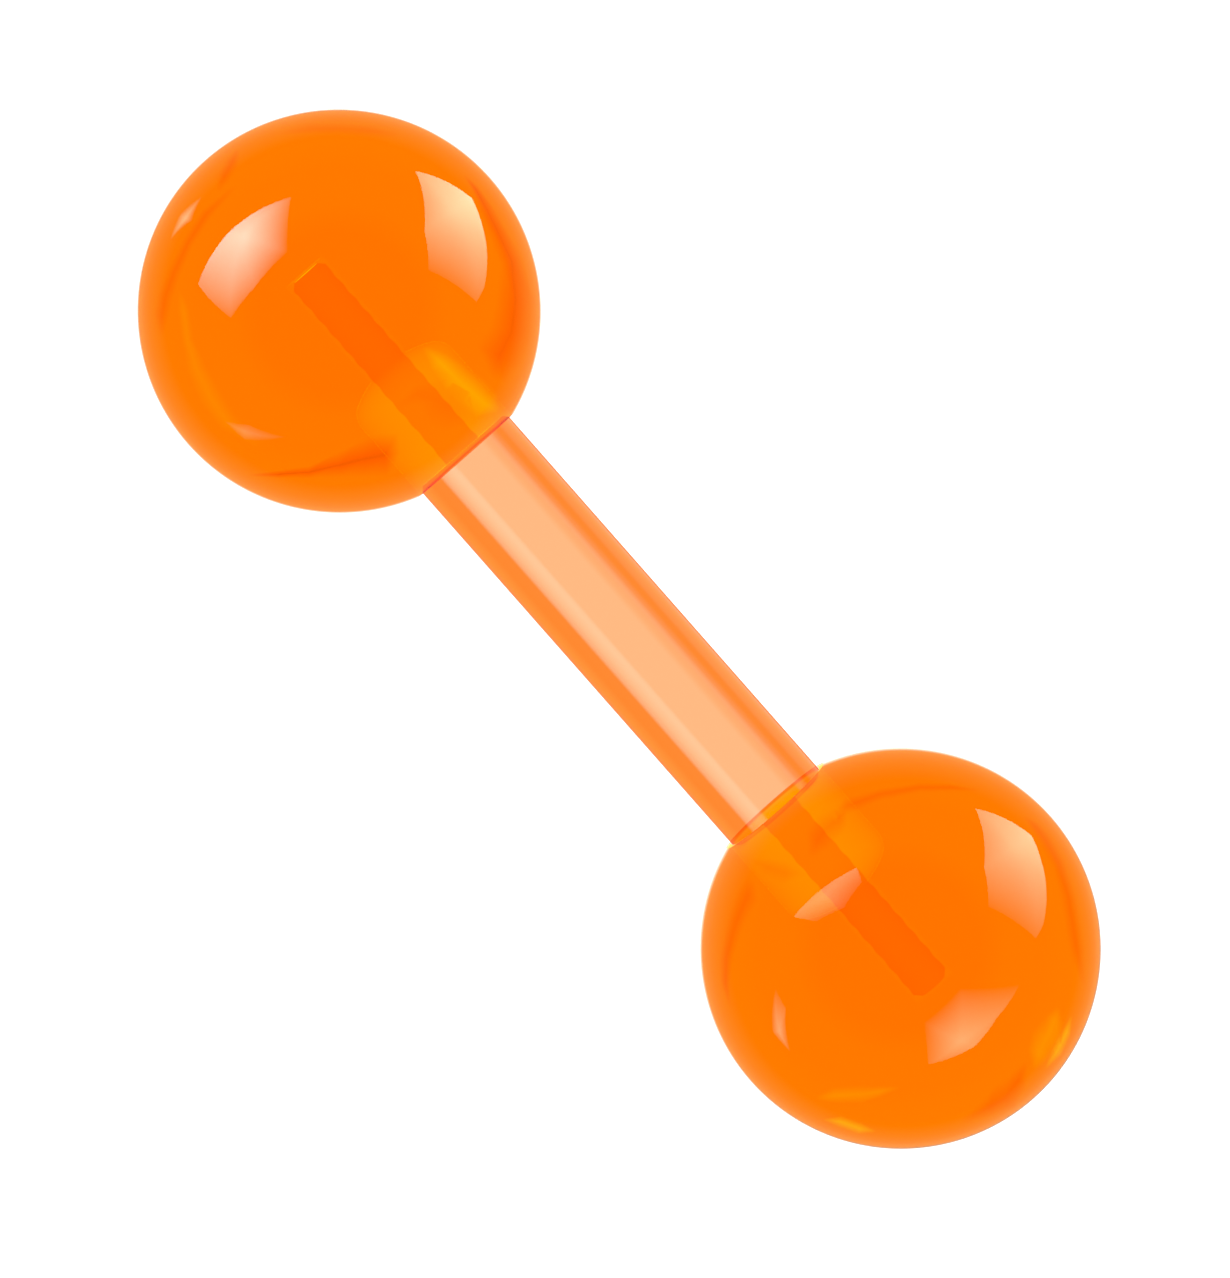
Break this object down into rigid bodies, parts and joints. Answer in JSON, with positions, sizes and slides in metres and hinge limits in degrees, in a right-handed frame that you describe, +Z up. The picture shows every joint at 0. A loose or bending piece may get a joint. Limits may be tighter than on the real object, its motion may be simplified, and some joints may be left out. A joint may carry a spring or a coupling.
{
  "type": "cartilage barbell",
  "caption": "Straight see-through acrylic piercing bar with a screw-on ball at each end, lying on a flat surface.",
  "frame": {"origin": "on the surface that the balls rest on, under the middle of the bar", "axes": "+X along the bar, from ball_left to ball_right, +Z up from the surface"},
  "size_m": [0.0124, 0.004, 0.004],
  "materials": {
    "bar": "polished",
    "ball": "polished"
  },
  "bodies": {
    "bar": {"bar": "bar"},
    "ball_left": {"ball_left": "ball"},
    "ball_right": {"ball_right": "ball"}
  },
  "joints": [
    {"name": "ball_left_off", "type": "slide", "parent": "bar", "child": "ball_left", "axis": [-1, 0, 0], "range_m": [0, 0.006]},
    {"name": "ball_right_off", "type": "slide", "parent": "bar", "child": "ball_right", "axis": [1, 0, 0], "range_m": [0, 0.006]}
  ]
}
